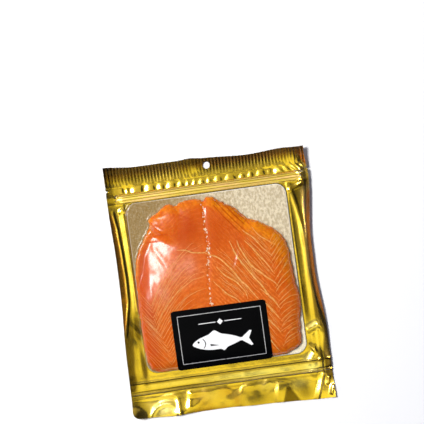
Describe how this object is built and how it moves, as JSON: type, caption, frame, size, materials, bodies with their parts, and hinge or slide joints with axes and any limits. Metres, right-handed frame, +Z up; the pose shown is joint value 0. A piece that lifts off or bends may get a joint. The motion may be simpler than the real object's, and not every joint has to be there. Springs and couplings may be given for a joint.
{
  "type": "vacuum pack of smoked salmon",
  "caption": "Flat vacuum pack of sliced smoked fish on a rounded board, with a gold back film, clear front film, press-to-close strip, hang hole and dark label.",
  "frame": {"origin": "middle of the pack's footprint, on the surface it lies on", "axes": "+Y along the pack towards the hang hole, +X across it, +Z up from its gold back to its clear front"},
  "size_m": [0.2082, 0.255, 0.0118],
  "materials": {
    "gold_film": "plastic film metallised in gold, bright and creased",
    "clear_film": "clear glossy film, drawn tight",
    "satin_board": "pale champagne board with a satin grain",
    "smoked_fish": null,
    "zip_plastic": "translucent plastic strip",
    "label_paper": "black semi-gloss sticker with a fine pale border"
  },
  "bodies": {
    "root": {"back_film": "gold_film", "front_film": "clear_film", "board": "satin_board", "salmon": "smoked_fish", "zip_channel": "zip_plastic", "zip_rib": "zip_plastic", "label": "label_paper"}
  },
  "joints": []
}
